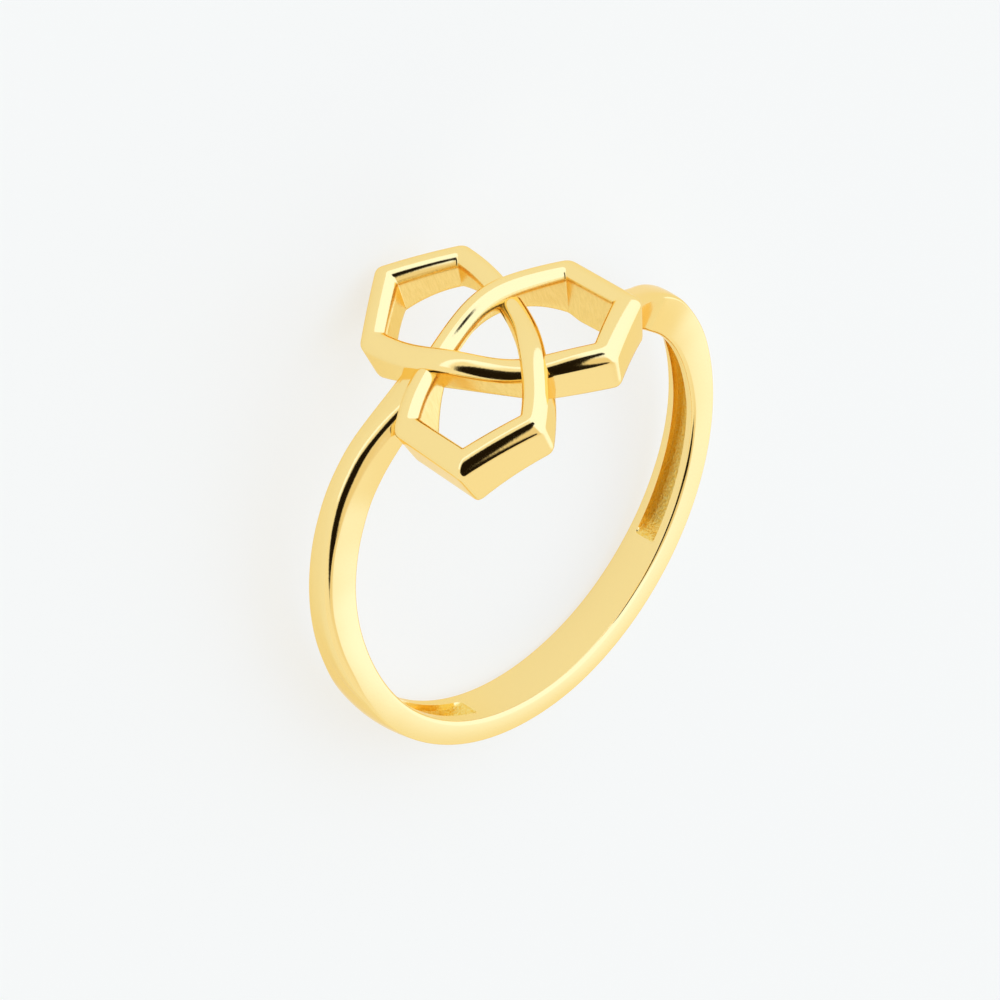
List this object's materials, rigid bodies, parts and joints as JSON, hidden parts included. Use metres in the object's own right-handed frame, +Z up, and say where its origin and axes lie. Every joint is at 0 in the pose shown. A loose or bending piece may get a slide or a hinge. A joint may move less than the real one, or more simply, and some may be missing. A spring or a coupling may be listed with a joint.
{
  "type": "trinity knot ring",
  "caption": "Polished yellow gold finger ring with a slim shank and a woven trinity knot of three pointed lobes on top.",
  "frame": {"origin": "on the surface that the lying ring rests on, under the middle of the ring's bounding box", "axes": "+Z up from the surface, -Y towards the knot, +X to the ring's left-hand side as worn; the finger's axis leans 9.4 degrees from +Z towards +Y because the knot's far lobe props the ring up"},
  "size_m": [0.0196, 0.0208, 0.0102],
  "materials": {
    "gold": null
  },
  "bodies": {
    "root": {"ring": "gold"}
  },
  "joints": []
}
